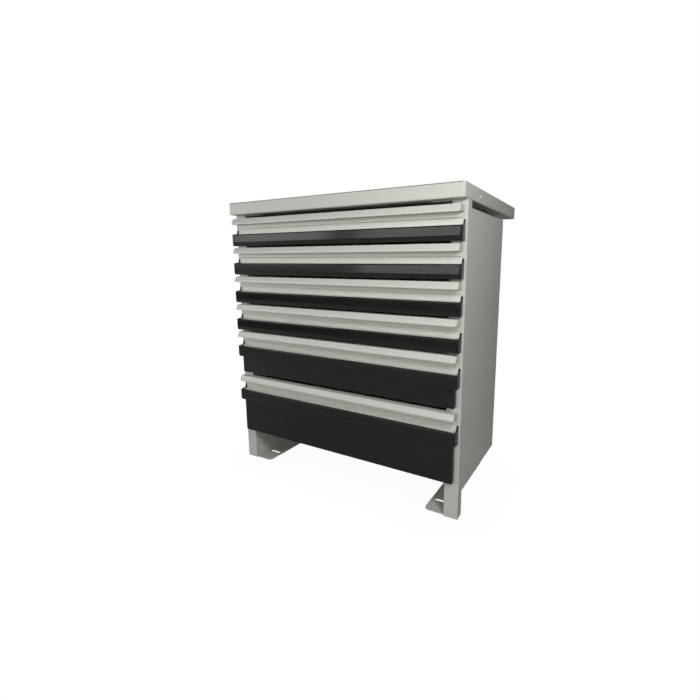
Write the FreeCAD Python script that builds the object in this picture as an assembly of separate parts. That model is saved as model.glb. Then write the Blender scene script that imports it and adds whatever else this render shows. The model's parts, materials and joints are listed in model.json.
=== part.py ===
import FreeCAD, Part
import math
import os

# Drawer cabinet for a workshop or a service van: two hollow side frames on feet with slotted floor
# flanges, an open tray on top that reaches back past the frames, and six drawers of full width, each
# with an extruded grip, a black moulded front and a pair of telescopic slides.
# Units are millimetres and +Z is up.  While the pieces are built, y = 0 is the front plane of the side
# frames and y grows towards the rear.  row_shift_y then moves the origin to the middle of the footprint.

V = FreeCAD.Vector

# ---- cabinet ----------------------------------------------------------------------------------------
cabinet_width = 770.0        # over the two side panels
cabinet_depth = 345.0        # side panel, front flange to rear flange
foot_clearance = 103.0       # floor to the lowest drawer front
top_gap = 12.0               # topmost grip to the underside of the tray
side_sheet = 1.5             # steel of the side panels
web_sheet = 2.0              # steel of the inner panels that carry the slides
front_flange = 39.0          # face of the side frame, seen from the front
rear_flange = 25.0           # turned-in rear edge of the side panel
post_depth = 29.0            # full-height strip of the side panel behind the front flange
panel_bottom = 72.0          # lower edge of the side panel behind the post
panel_top_gap = 18.0         # gap between the side panel and the tray behind the post
bend_radius = 2.5            # outer radius of the folded corners
web_setback = 0.5            # inner panel, set in from the edge of the front flange
web_return = 24.0            # flange of the inner panel that is welded behind the front flange

# ---- feet -------------------------------------------------------------------------------------------
foot_flange = 59.5           # width of the floor flange and of the top flange
foot_front_gap = 4.0         # floor flange, set back from the front plane
foot_corner_radius = 14.0
slot_length = 40.0
slot_width = 9.0
slot_from_web = 28.5         # slot's middle, from the inner panel
slot_from_end = 62.0         # slot's middle, from the front plane and from the rear of the frame

# ---- tray -------------------------------------------------------------------------------------------
tray_depth = 525.0
tray_front_overhang = 26.0
tray_lip = 36.0
tray_sheet = 1.5
tray_corner_radius = 3.0
lip_hole_diameter = 9.0
lip_hole_height = 18.0       # above the underside of the tray
lip_hole_front = 96.0        # behind the front plane
lip_hole_spacing = 271.0

# ---- drawers, from the top down: height of the front, then the gap below it ---------------------------
drawers = [(84.0, 6.0), (84.0, 6.0), (84.0, 6.0), (84.0, 6.0), (139.0, 11.0), (194.0, 0.0)]
front_clearance = 0.5        # between the front plane and the back of the drawer fronts
front_half = 380.0           # half width of the black band
ear_thickness = 3.5          # side walls of the black front
front_wall = 2.2
band_reach = 26.0            # face of the band, in front of the front plane
band_top = 48.0              # levels below the top of the grip
band_bevel = 72.0
band_bottom = 84.0
band_bevel_back = 4.4
band_corner_radius = 4.0
ear_top = 34.5
ear_setback = 1.5            # ear's face, in front of the grip's wall
ear_radius = 1.5
band_edge_radius = 1.5
band_inner_radius = 2.0
band_inner_edge_radius = 1.0
panel_reach = 14.0           # lower panel of the tall fronts
panel_half = 372.0
panel_corner_radius = 6.0
panel_lower_radius = 3.0

# ---- grip extrusion ---------------------------------------------------------------------------------
grip_reach = 28.0            # foremost face, in front of the front plane
grip_wall = 2.0
grip_half = 374.5
cap_thickness = 1.8
nose_top_reach = 21.3        # where the top meets the slanted face
nose_edge = 12.4             # where the slanted face meets the upright lip, below the top
nose_bottom = 18.0
nose_bottom_reach = 27.4     # the lip leans back below the slanted face
nose_back_radius = 6.0
nose_top_radius = 8.0
nose_edge_radius = 2.0
nose_lip_radius = 1.5
chamber_back_radius = 4.0
chamber_top_radius = 6.0
lug_reach = 6.5
lug_bottom = 29.3
lug_top_radius = 2.0
lug_bottom_radius = 1.0
groove_radius = 0.5
wall_top = 34.3
cove_corner = 46.3
cove_radius = 6.0
cove_reach = 18.5
shelf_bottom = 50.0
plug_depth = 8.0
plug_clearance = 0.15

# ---- drawer boxes and slides --------------------------------------------------------------------------
box_sheet = 1.0
box_depth = 312.0
box_top_drop = 8.0           # box's rim, below the top of the grip
box_bottom_rise = 4.0        # box's floor, above the lower edge of the front
box_corner_radius = 3.0
rim_width = 3.0
rim_height = 8.0             # rim, with the top edge folded inwards
slide_gap = 13.0             # inner panel to drawer box
slide_length = 300.0
slide_start = 3.0            # behind the front plane
slide_sheet = 1.2
slide_play = 0.5             # race clearance between two members
slide_rise = 10.0            # slide's lower edge, above the floor of the box
slide_height_low = 35.0      # for the shallow drawers
slide_height_tall = 45.0     # for the deep drawers
tall_front = 100.0           # fronts higher than this have the tall slide and the lower panel
middle_web_offset = 3.8      # middle member's web, from the inner panel
outer_flange_end = 9.0
middle_flange_end = 10.6
inner_flange_end = 5.6

# ---- rails and rear panel -----------------------------------------------------------------------------
rail_depth = 32.0
rail_height = 20.0
rail_front = 30.0            # behind the front plane
rail_drawer_gap = 3.0        # below the lowest drawer box
rail_sheet = 1.5
rear_sheet = 1.0
rear_pan_depth = 20.0
rear_top_gap = 0.3
rear_screw_above_rail = 40.0
rear_screw_below_top = 80.0
rail_rear_gap = 3.0          # between the rear rail and the rear panel

# ---- screws -------------------------------------------------------------------------------------------
screw_play = 0.1             # radial clearance of every screw hole
slide_screw = {"shank": 2.4, "head": 4.5, "rise": 2.0}
front_screw = {"shank": 2.0, "head": 4.0, "rise": 2.2}
frame_screw = {"shank": 3.0, "head": 5.5, "rise": 3.0}
screw_end = 1.5              # shank past the last sheet
front_screw_bite = 14.0      # thread length in the black front's bosses
lug_screw_bite = 4.5         # thread length in the grip's lug
front_screw_columns = [110.0, 300.0]
boss_radius = 5.0
boss_drop = 62.0             # bosses, below the top of the grip
lug_screw_drop = 25.0
slide_screw_inset = 45.0     # from each end of the slide
nut_height = 5.0
nut_across_flats = 10.0
bolt_length = 14.0
overshoot = 1.0              # how far a cutter runs past what it cuts

# ---- values that follow from the ones above -----------------------------------------------------------
half = cabinet_width / 2.0
frame_height = foot_clearance + sum(height + gap for height, gap in drawers) + top_gap
panel_top = frame_height - panel_top_gap
web_inner = half - front_flange + web_setback
web_outer = web_inner + web_sheet
slot_x = web_inner - slot_from_web
slot_rows = [slot_from_end, cabinet_depth - slot_from_end]
box_half = web_inner - slide_gap
box_front = -front_clearance
box_rear = box_front + box_depth
rear_pan_front = cabinet_depth - rear_pan_depth
tray_front = -tray_front_overhang
tray_rear = tray_front + tray_depth
foremost = -max(grip_reach, tray_front_overhang)
row_shift_y = -(foremost + tray_rear) / 2.0
rail_top = foot_clearance + box_bottom_rise - rail_drawer_gap
rail_bottom = rail_top - rail_height
rear_screw_levels = [
    rail_top + rear_screw_above_rail,
    frame_height / 2.0,
    frame_height - rear_screw_below_top,
]
screw_rows = [slide_start + slide_screw_inset, slide_start + slide_length - slide_screw_inset]


# ---- shape helpers --------------------------------------------------------------------------------------
def block(x0, x1, y0, y1, z0, z1):
    """Return a box between two corners."""
    return Part.makeBox(x1 - x0, y1 - y0, z1 - z0, V(x0, y0, z0))


def place_point(axis, u, v, along):
    """Return the point (u, v) of an outline that stands across the axis, at a distance along it."""
    if axis == "x":
        return V(along, u, v)
    if axis == "y":
        return V(u, along, v)
    return V(u, v, along)


def rounded_corner(before, corner, after, radius):
    """Return the two tangent points of a corner's arc and the arc's middle point."""
    back = (before[0] - corner[0], before[1] - corner[1])
    ahead = (after[0] - corner[0], after[1] - corner[1])
    back_length = math.hypot(*back)
    ahead_length = math.hypot(*ahead)
    back = (back[0] / back_length, back[1] / back_length)
    ahead = (ahead[0] / ahead_length, ahead[1] / ahead_length)
    half_angle = math.acos(max(-1.0, min(1.0, back[0] * ahead[0] + back[1] * ahead[1]))) / 2.0
    reach = min(radius / math.tan(half_angle), 0.49 * back_length, 0.49 * ahead_length)
    radius = reach * math.tan(half_angle)
    bisector = (back[0] + ahead[0], back[1] + ahead[1])
    length = math.hypot(*bisector)
    to_middle = radius / math.sin(half_angle) - radius
    start = (corner[0] + back[0] * reach, corner[1] + back[1] * reach)
    end = (corner[0] + ahead[0] * reach, corner[1] + ahead[1] * reach)
    middle = (corner[0] + bisector[0] / length * to_middle, corner[1] + bisector[1] / length * to_middle)
    return start, middle, end


def prism(axis, corners, start, end):
    """Return the solid of an outline drawn from start to end along an axis.

    Each corner is (u, v) or (u, v, radius), and a radius rounds it with an arc.
    """
    count = len(corners)
    edges = []
    first = None
    last = None
    for index, corner in enumerate(corners):
        radius = corner[2] if len(corner) > 2 else 0.0
        if radius > 0.0:
            arc = rounded_corner(corners[index - 1], corner, corners[(index + 1) % count], radius)
            points = [place_point(axis, p[0], p[1], start) for p in arc]
        else:
            points = [place_point(axis, corner[0], corner[1], start)]
        if last is not None:
            edges.append(Part.LineSegment(last, points[0]).toShape())
        if len(points) == 3:
            edges.append(Part.Arc(*points).toShape())
        if first is None:
            first = points[0]
        last = points[-1]
    edges.append(Part.LineSegment(last, first).toShape())
    face = Part.Face(Part.Wire(edges))
    return face.extrude(place_point(axis, 0.0, 0.0, end - start))


def slot_tool(x, y, z0, z1):
    """Return the cutter of one fixing slot, with its length along X."""
    reach = slot_length / 2.0 - slot_width / 2.0
    radius = slot_width / 2.0
    tool = block(x - reach, x + reach, y - radius, y + radius, z0, z1)
    for end in (-reach, reach):
        tool = tool.fuse(Part.makeCylinder(radius, z1 - z0, V(x + end, y, z0)))
    return tool


def mirrored(shape):
    """Return the shape's mirror image in the plane x = 0."""
    return shape.mirror(V(0, 0, 0), V(1, 0, 0))


def both_sides(shape):
    """Return a right-hand shape and its left-hand mirror image."""
    return [shape, mirrored(shape)]


def screw(point, direction, kind, shank_length):
    """Return a pan-head screw whose head seats at the point and whose shank runs along direction."""
    head = Part.makeCylinder(kind["head"], kind["rise"], point, direction * -1.0)
    rim = [edge for edge in head.Edges if (edge.CenterOfMass - point).Length > 0.5 * kind["rise"]]
    rim = [edge for edge in rim if len(edge.Vertexes) == 1]
    head = head.makeFillet(kind["rise"] * 0.5, rim)
    socket_start = point - direction * kind["rise"]
    socket = Part.makeCylinder(kind["shank"] * 0.7, kind["rise"] * 0.6, socket_start, direction)
    shank = Part.makeCylinder(kind["shank"], shank_length, point, direction)
    return head.fuse(shank).cut(socket).removeSplitter()


def hole(point, direction, kind, length):
    """Return the cutter of a clearance hole for a kind of screw, from a little before the point."""
    return Part.makeCylinder(kind["shank"] + screw_play, length + overshoot, point - direction, direction)


def save(name, shapes):
    """Move a node's solids to the row frame and write them to its file."""
    solids = []
    for shape in shapes:
        solids.extend(shape.Solids)
    for solid in solids:
        if not solid.isValid():
            raise ValueError(name + " holds a solid that is not valid")
    group = solids[0] if len(solids) == 1 else Part.makeCompound(solids)
    group = group.copy()
    group.translate(V(0, row_shift_y, 0))
    group.exportStep("parts/" + name + ".step")
    print("%-28s %2d solids  %10.0f mm3" % (name, len(solids), group.Volume))


# ---- levels of one drawer -------------------------------------------------------------------------------
def drawer_levels():
    """Return each drawer's levels, from the top down."""
    levels = []
    top = frame_height - top_gap
    for height, gap in drawers:
        bottom = top - height
        tall = height > tall_front
        slide_height = slide_height_tall if tall else slide_height_low
        floor = bottom + box_bottom_rise
        slide_middle = floor + slide_rise + slide_height / 2.0
        levels.append({
            "top": top,
            "bottom": bottom,
            "height": height,
            "tall": tall,
            "floor": floor,
            "rim": top - box_top_drop,
            "slide_height": slide_height,
            "slide_middle": slide_middle,
        })
        top = bottom - gap
    return levels


# ---- side frames ----------------------------------------------------------------------------------------
def side_panel():
    """Return the right-hand outer panel: skin, front flange and rear flange."""
    outline = [
        (0.0, 0.0),
        (post_depth, 0.0),
        (post_depth, panel_bottom),
        (cabinet_depth, panel_bottom),
        (cabinet_depth, panel_top),
        (post_depth, panel_top),
        (post_depth, frame_height),
        (0.0, frame_height),
    ]
    skin = prism("x", outline, half - side_sheet, half)
    front = block(half - front_flange, half, 0.0, side_sheet, 0.0, frame_height)
    rear = block(half - rear_flange, half, cabinet_depth - side_sheet, cabinet_depth, panel_bottom, panel_top)
    panel = skin.fuse([front, rear]).removeSplitter()
    corners = []
    for edge in panel.Edges:
        middle = edge.CenterOfMass
        on_skin = abs(middle.x - half) < 0.01
        at_fold = abs(middle.y) < 0.01 or abs(middle.y - cabinet_depth) < 0.01
        if on_skin and at_fold and edge.Length > tray_lip:
            corners.append(edge)
    return panel.makeFillet(min(bend_radius, side_sheet * 0.9), corners)


def flange_plan():
    """Return the plan outline that the floor flange and the top flange share."""
    inner = web_inner - foot_flange
    front = foot_front_gap
    rear = cabinet_depth - foot_front_gap
    return [
        (web_outer, front),
        (web_outer, rear),
        (inner, rear, foot_corner_radius),
        (inner, front, foot_corner_radius),
    ]


def inner_panel(levels):
    """Return the right-hand inner panel: web, floor and top flanges, and its returns."""
    web = block(web_inner, web_outer, side_sheet, cabinet_depth - side_sheet, 0.0, frame_height)
    front = block(web_inner, web_inner + web_return, side_sheet, side_sheet + web_sheet, 0.0, frame_height)
    rear_y = cabinet_depth - side_sheet
    rear = block(web_inner, half - side_sheet, rear_y - web_sheet, rear_y, panel_bottom, panel_top)
    foot = prism("z", flange_plan(), 0.0, web_sheet)
    head = prism("z", flange_plan(), frame_height - web_sheet, frame_height)
    panel = web.fuse([front, rear, foot, head]).removeSplitter()
    tools = []
    for y in slot_rows:
        tools.append(slot_tool(slot_x, y, -overshoot, web_sheet + overshoot))
        tools.append(slot_tool(slot_x, y, frame_height - web_sheet - overshoot, frame_height + overshoot))
    outward = V(1, 0, 0)
    bore = web_sheet + overshoot
    for level in levels:
        for y in screw_rows:
            tools.append(hole(V(web_inner, y, level["slide_middle"]), outward, slide_screw, bore))
    for y, z in frame_screw_places():
        tools.append(hole(V(web_inner, y, z), outward, frame_screw, bore))
    return panel.cut(tools)


def frame_screw_places():
    """Return the (y, z) places of the screws that hold the rails and the rear panel to the webs."""
    rear_rail_front = rear_pan_front - rail_rear_gap - rail_depth
    rail_middle = rail_top - rail_height / 2.0
    places = [(front + rail_depth / 2.0, rail_middle) for front in (rail_front, rear_rail_front)]
    places += [(cabinet_depth - rear_pan_depth / 2.0, z) for z in rear_screw_levels]
    return places


def base_rail(front):
    """Return a cross rail below the drawers: a channel that opens downwards, with closed ends."""
    rail = block(-web_inner, web_inner, front, front + rail_depth, rail_bottom, rail_top)
    inner = block(
        -web_inner + rail_sheet,
        web_inner - rail_sheet,
        front + rail_sheet,
        front + rail_depth - rail_sheet,
        rail_bottom - overshoot,
        rail_top - rail_sheet,
    )
    rail = rail.cut(inner)
    centre = V(web_inner - rail_sheet, front + rail_depth / 2.0, rail_top - rail_height / 2.0)
    tool = hole(centre, V(1, 0, 0), frame_screw, rail_sheet + overshoot)
    return rail.cut(both_sides(tool))


def rear_panel():
    """Return the rear panel: a shallow pan that opens towards the drawers."""
    top = frame_height - web_sheet - rear_top_gap
    pan = block(-web_inner, web_inner, rear_pan_front, cabinet_depth, panel_bottom, top)
    inner = block(
        -web_inner + rear_sheet,
        web_inner - rear_sheet,
        rear_pan_front - overshoot,
        cabinet_depth - rear_sheet,
        panel_bottom + rear_sheet,
        top - rear_sheet,
    )
    pan = pan.cut(inner)
    tools = []
    for z in rear_screw_levels:
        centre = V(web_inner - rear_sheet, cabinet_depth - rear_pan_depth / 2.0, z)
        tools.extend(both_sides(hole(centre, V(1, 0, 0), frame_screw, rear_sheet + overshoot)))
    return pan.cut(tools)


def frame_screws():
    """Return the screws that hold the rails and the rear panel to the inner panels."""
    screws = []
    for y, z in frame_screw_places():
        sheet = rear_sheet if z in rear_screw_levels else rail_sheet
        shank = sheet + web_sheet + screw_end
        screws.extend(both_sides(screw(V(web_inner - sheet, y, z), V(1, 0, 0), frame_screw, shank)))
    return screws


# ---- tray -----------------------------------------------------------------------------------------------
def rounded_pan(x0, x1, y0, y1, z0, z1, radius):
    """Return a box whose upright and bottom edges are rounded."""
    body = block(x0, x1, y0, y1, z0, z1)
    edges = [edge for edge in body.Edges if edge.CenterOfMass.z < z1 - 0.01]
    return body.makeFillet(radius, edges)


def walls_and_floor(shell, limits, floor_top, wall):
    """Split an open box into its floor and its four walls, which meet face to face.

    The side walls keep the corners, and wall is the thickness that is cut off for each of them.
    """
    x0, x1, y0, y1, z0, z1 = limits
    floor = block(x0, x1, y0, y1, z0, floor_top)
    left = block(x0, x0 + wall, y0, y1, floor_top, z1)
    right = block(x1 - wall, x1, y0, y1, floor_top, z1)
    front = block(x0 + wall, x1 - wall, y0, (y0 + y1) / 2.0, floor_top, z1)
    rear = block(x0 + wall, x1 - wall, (y0 + y1) / 2.0, y1, floor_top, z1)
    return [shell.common(zone) for zone in (floor, left, right, front, rear)]


def top_tray():
    """Return the open tray: its floor and four lips, with the linking holes and the bolt holes."""
    top = frame_height + tray_lip
    outer = rounded_pan(-half, half, tray_front, tray_rear, frame_height, top, tray_corner_radius)
    inner = rounded_pan(
        -half + tray_sheet,
        half - tray_sheet,
        tray_front + tray_sheet,
        tray_rear - tray_sheet,
        frame_height + tray_sheet,
        top + tray_lip,
        tray_corner_radius - tray_sheet,
    )
    tools = [inner]
    across = cabinet_width + 2.0 * overshoot
    for y in (lip_hole_front, lip_hole_front + lip_hole_spacing):
        centre = V(-half - overshoot, y, frame_height + lip_hole_height)
        tools.append(Part.makeCylinder(lip_hole_diameter / 2.0, across, centre, V(1, 0, 0)))
    for y in slot_rows:
        tool = hole(V(slot_x, y, frame_height), V(0, 0, 1), frame_screw, tray_sheet + overshoot)
        tools.extend(both_sides(tool))
    limits = (-half, half, tray_front, tray_rear, frame_height, top)
    return walls_and_floor(outer.cut(tools), limits, frame_height + tray_sheet, tray_corner_radius)


def tray_bolts_and_nuts():
    """Return the bolts that hold the tray to the top flanges, and their nuts."""
    solids = []
    for y in slot_rows:
        seat = V(slot_x, y, frame_height + tray_sheet)
        solids.extend(both_sides(screw(seat, V(0, 0, -1), frame_screw, bolt_length)))
        nut_top = frame_height - web_sheet
        radius = nut_across_flats / 2.0 / math.cos(math.radians(30.0))
        corners = []
        for step in range(6):
            angle = math.radians(60.0 * step)
            corners.append((slot_x + radius * math.cos(angle), y + radius * math.sin(angle)))
        nut = prism("z", corners, nut_top - nut_height, nut_top)
        bore_start = V(slot_x, y, nut_top - nut_height)
        nut = nut.cut(Part.makeCylinder(frame_screw["shank"] + screw_play, nut_height, bore_start))
        solids.extend(both_sides(nut))
    return solids


# ---- telescopic slides ----------------------------------------------------------------------------------
def slide_member(web_near, flange_end, half_height, middle_z):
    """Return one right-hand member of a slide, a channel with its web at web_near from the inner panel.

    Its flanges run from the web to flange_end, and the member lies along the whole slide.
    """
    direction = 1.0 if flange_end > web_near else -1.0
    thickness = slide_sheet * direction
    near = web_inner - web_near
    far = web_inner - flange_end
    inside = near - thickness
    low = middle_z - half_height
    high = middle_z + half_height
    outline = [
        (near, low, slide_sheet * 0.8),
        (near, high, slide_sheet * 0.8),
        (far, high),
        (far, high - slide_sheet),
        (inside, high - slide_sheet),
        (inside, low + slide_sheet),
        (far, low + slide_sheet),
        (far, low),
    ]
    return prism("y", outline, slide_start, slide_start + slide_length)


def slide_half_heights(level):
    """Return the half heights of the outer, the middle and the inner member."""
    outer = level["slide_height"] / 2.0
    step = slide_sheet + slide_play
    return outer, outer - step, outer - 2.0 * step


def slide_outer(level):
    """Return the pair of members that are screwed to the cabinet."""
    member = slide_member(0.0, outer_flange_end, slide_half_heights(level)[0], level["slide_middle"])
    tools = []
    for y in screw_rows:
        point = V(web_inner - slide_sheet, y, level["slide_middle"])
        tools.append(hole(point, V(1, 0, 0), slide_screw, slide_sheet + overshoot))
    return both_sides(member.cut(tools))


def slide_middle(level):
    """Return the pair of members that run between the cabinet and the drawer."""
    height = slide_half_heights(level)[1]
    return both_sides(slide_member(middle_web_offset, middle_flange_end, height, level["slide_middle"]))


def slide_inner(level):
    """Return the pair of members that are screwed to the drawer box."""
    member = slide_member(slide_gap, inner_flange_end, slide_half_heights(level)[2], level["slide_middle"])
    tools = []
    for y in screw_rows:
        point = V(box_half + slide_sheet, y, level["slide_middle"])
        tools.append(hole(point, V(-1, 0, 0), slide_screw, slide_sheet + overshoot))
    return both_sides(member.cut(tools))


def slide_screws(levels):
    """Return the screws that hold the outer members to the inner panels."""
    screws = []
    shank = slide_sheet + web_sheet + screw_end
    for level in levels:
        for y in screw_rows:
            seat = V(web_inner - slide_sheet, y, level["slide_middle"])
            screws.extend(both_sides(screw(seat, V(1, 0, 0), slide_screw, shank)))
    return screws


# ---- drawers --------------------------------------------------------------------------------------------
def drawer_box(level):
    """Return the box of a drawer: its floor and four walls with a stiff rim, with the screw holes."""
    floor = level["floor"]
    rim = level["rim"]
    outer = rounded_pan(-box_half, box_half, box_front, box_rear, floor, rim, box_corner_radius)
    inner = rounded_pan(
        -box_half + box_sheet,
        box_half - box_sheet,
        box_front + box_sheet,
        box_rear - box_sheet,
        floor + box_sheet,
        rim + rim_height,
        box_corner_radius - box_sheet,
    )
    box = outer.cut(inner)
    band = block(-box_half, box_half, box_front, box_rear, rim - rim_height, rim)
    upright = [edge for edge in band.Edges if abs(edge.CenterOfMass.z - rim + rim_height / 2.0) < 0.01]
    band = band.makeFillet(box_corner_radius, upright)
    opening = block(
        -box_half + rim_width,
        box_half - rim_width,
        box_front + rim_width,
        box_rear - rim_width,
        rim - rim_height - overshoot,
        rim + overshoot,
    )
    box = box.fuse(band.cut(opening)).removeSplitter()
    tools = []
    for x, z in front_screw_places(level):
        tools.append(hole(V(x, box_front + box_sheet, z), V(0, -1, 0), front_screw, box_sheet + overshoot))
    for y in screw_rows:
        point = V(box_half, y, level["slide_middle"])
        tools.extend(both_sides(hole(point, V(-1, 0, 0), slide_screw, box_sheet + overshoot)))
    limits = (-box_half, box_half, box_front, box_rear, floor, rim)
    return walls_and_floor(box.cut(tools), limits, floor + box_sheet, rim_width)


def front_screw_places(level):
    """Return the (x, z) places of the screws that hold the black front and the grip."""
    columns = [side * x for x in front_screw_columns for side in (-1.0, 1.0)]
    return [(x, level["top"] - drop) for x in columns for drop in (lug_screw_drop, boss_drop)]


def grip_chamber(level, clearance):
    """Return the outline of the hollow in the grip's nose, drawn in by a clearance."""
    top = level["top"]
    wall = grip_wall + clearance
    return [
        (-front_clearance - wall, top - wall, chamber_back_radius),
        (-nose_top_reach + wall / 2.0, top - wall, chamber_top_radius),
        (-grip_reach + wall, top - nose_edge, nose_lip_radius),
        (-nose_bottom_reach + wall, top - nose_bottom + wall),
        (-front_clearance - wall, top - nose_bottom + wall),
    ]


def grip(level):
    """Return the extruded grip: a hollow nose, a screw lug, a wall and a cove that meets the band."""
    top = level["top"]
    back = -front_clearance
    wall_face = back - grip_wall
    outline = [
        (back, top, nose_back_radius),
        (-nose_top_reach, top, nose_top_radius),
        (-grip_reach, top - nose_edge, nose_edge_radius),
        (-nose_bottom_reach, top - nose_bottom, nose_lip_radius),
        (-lug_reach, top - nose_bottom, lug_top_radius),
        (-lug_reach, top - lug_bottom, lug_bottom_radius),
        (wall_face, top - wall_top, groove_radius),
        (wall_face, top - cove_corner, cove_radius),
        (-cove_reach, top - band_top),
        (-cove_reach, top - shelf_bottom),
        (back, top - shelf_bottom),
    ]
    body = prism("x", outline, -grip_half, grip_half)
    tools = [prism("x", grip_chamber(level, 0.0), -grip_half - overshoot, grip_half + overshoot)]
    for x, z in front_screw_places(level):
        if z > top - lug_bottom:
            tools.append(hole(V(x, back, z), V(0, -1, 0), front_screw, lug_screw_bite))
    return [body.cut(tools)]


def grip_end_caps(level):
    """Return the two end caps of the nose, each with a plug that enters the hollow."""
    top = level["top"]
    outline = [
        (-front_clearance, top, nose_back_radius),
        (-nose_top_reach, top, nose_top_radius),
        (-grip_reach, top - nose_edge, nose_edge_radius),
        (-nose_bottom_reach, top - nose_bottom, nose_lip_radius),
        (-front_clearance, top - nose_bottom, lug_bottom_radius),
    ]
    plate = prism("x", outline, grip_half, grip_half + cap_thickness)
    plug = prism("x", grip_chamber(level, plug_clearance), grip_half - plug_depth, grip_half)
    return both_sides(plate.fuse(plug).removeSplitter())


def black_front(level):
    """Return the moulded front: the band, its two ears and, on a deep drawer, the lower panel."""
    top = level["top"]
    back = -front_clearance
    bottom = level["bottom"]
    band = prism("x", [
        (back, top - shelf_bottom),
        (-cove_reach, top - shelf_bottom),
        (-cove_reach, top - band_top),
        (-band_reach, top - band_top, band_corner_radius),
        (-band_reach, top - band_bevel, band_edge_radius),
        (-band_reach + band_bevel_back, top - band_bottom, band_edge_radius),
        (back, top - band_bottom),
    ], -front_half, front_half)
    ear_face = back - grip_wall - ear_setback
    ear = prism("x", [
        (back, top - ear_top),
        (ear_face, top - ear_top, ear_radius),
        (ear_face, top - cove_corner + ear_setback, cove_radius),
        (-band_reach + band_corner_radius, top - band_top),
        (-band_reach + band_corner_radius, top - band_bevel),
        (back, top - band_bevel),
    ], front_half - ear_thickness, front_half)
    plan = prism("z", [
        (-front_half, back),
        (-front_half, -band_reach, band_corner_radius),
        (front_half, -band_reach, band_corner_radius),
        (front_half, back),
    ], bottom - overshoot, top)
    body = band.fuse(both_sides(ear)).common(plan)
    tools = [prism("x", [
        (back + overshoot, top - shelf_bottom - front_wall),
        (-band_reach + front_wall, top - shelf_bottom - front_wall, band_inner_radius),
        (-band_reach + front_wall, top - band_bevel, band_inner_edge_radius),
        (-band_reach + band_bevel_back + front_wall, top - band_bottom + front_wall),
        (back + overshoot, top - band_bottom + front_wall),
    ], -front_half + ear_thickness, front_half - ear_thickness)]
    if level["tall"]:
        panel = prism("y", [
            (-panel_half, top - band_bottom),
            (-panel_half, bottom, panel_corner_radius),
            (panel_half, bottom, panel_corner_radius),
            (panel_half, top - band_bottom),
        ], -panel_reach, back)
        section = prism("x", [
            (back, top - band_bottom),
            (-panel_reach, top - band_bottom),
            (-panel_reach, bottom, panel_lower_radius),
            (back, bottom),
        ], -panel_half, panel_half)
        body = body.fuse(panel.common(section))
        tools.append(prism("y", [
            (-panel_half + front_wall, top - band_bottom - front_wall),
            (-panel_half + front_wall, bottom + front_wall, panel_corner_radius - front_wall),
            (panel_half - front_wall, bottom + front_wall, panel_corner_radius - front_wall),
            (panel_half - front_wall, top - band_bottom - front_wall),
        ], -panel_reach + front_wall, back + overshoot))
    body = body.cut(tools)
    for x, z in front_screw_places(level):
        if z < top - shelf_bottom:
            boss_length = band_reach - front_wall / 2.0 + back
            boss = Part.makeCylinder(boss_radius, boss_length, V(x, back, z), V(0, -1, 0))
            body = body.fuse(boss)
            body = body.cut(hole(V(x, back, z), V(0, -1, 0), front_screw, front_screw_bite + overshoot))
    return [body.removeSplitter()]


def drawer_screws(level):
    """Return a drawer's screws: those of the front and the grip, and those of the inner members."""
    screws = []
    for x, z in front_screw_places(level):
        bite = lug_screw_bite if z > level["top"] - lug_bottom else front_screw_bite
        seat = V(x, box_front + box_sheet, z)
        screws.append(screw(seat, V(0, -1, 0), front_screw, box_sheet + bite - 0.5))
    for y in screw_rows:
        seat = V(box_half + slide_sheet, y, level["slide_middle"])
        screws.extend(both_sides(screw(seat, V(-1, 0, 0), slide_screw, slide_sheet + box_sheet + screw_end)))
    return screws


# ---- build ----------------------------------------------------------------------------------------------
def main():
    """Build every node and write its file."""
    os.makedirs("parts", exist_ok=True)
    levels = drawer_levels()
    for name, shape in (("side_panel", side_panel()), ("inner_panel", inner_panel(levels))):
        save(name + "_right", [shape])
        save(name + "_left", [mirrored(shape)])
    save("rear_panel", [rear_panel()])
    save("base_rail_front", [base_rail(rail_front)])
    save("base_rail_rear", [base_rail(rear_pan_front - rail_rear_gap - rail_depth)])
    save("top_tray", top_tray())
    save("tray_bolts_and_nuts", tray_bolts_and_nuts())
    save("frame_screws", frame_screws())
    save("slide_screws", slide_screws(levels))
    for number, level in enumerate(levels, start=1):
        prefix = "drawer_%d_" % number
        save(prefix + "box", drawer_box(level))
        save(prefix + "front", black_front(level))
        save(prefix + "grip", grip(level))
        save(prefix + "grip_caps", grip_end_caps(level))
        save(prefix + "screws", drawer_screws(level))
        save(prefix + "slide_outer", slide_outer(level))
        save(prefix + "slide_middle", slide_middle(level))
        save(prefix + "slide_inner", slide_inner(level))


main()
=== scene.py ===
"""Visual model of a grey drawer cabinet with black fronts and an open tray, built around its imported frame."""

import json
import logging
import math
from dataclasses import dataclass
from enum import Enum

import bmesh
import bpy
import numpy as np
from mathutils import Euler, Matrix, Vector

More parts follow.
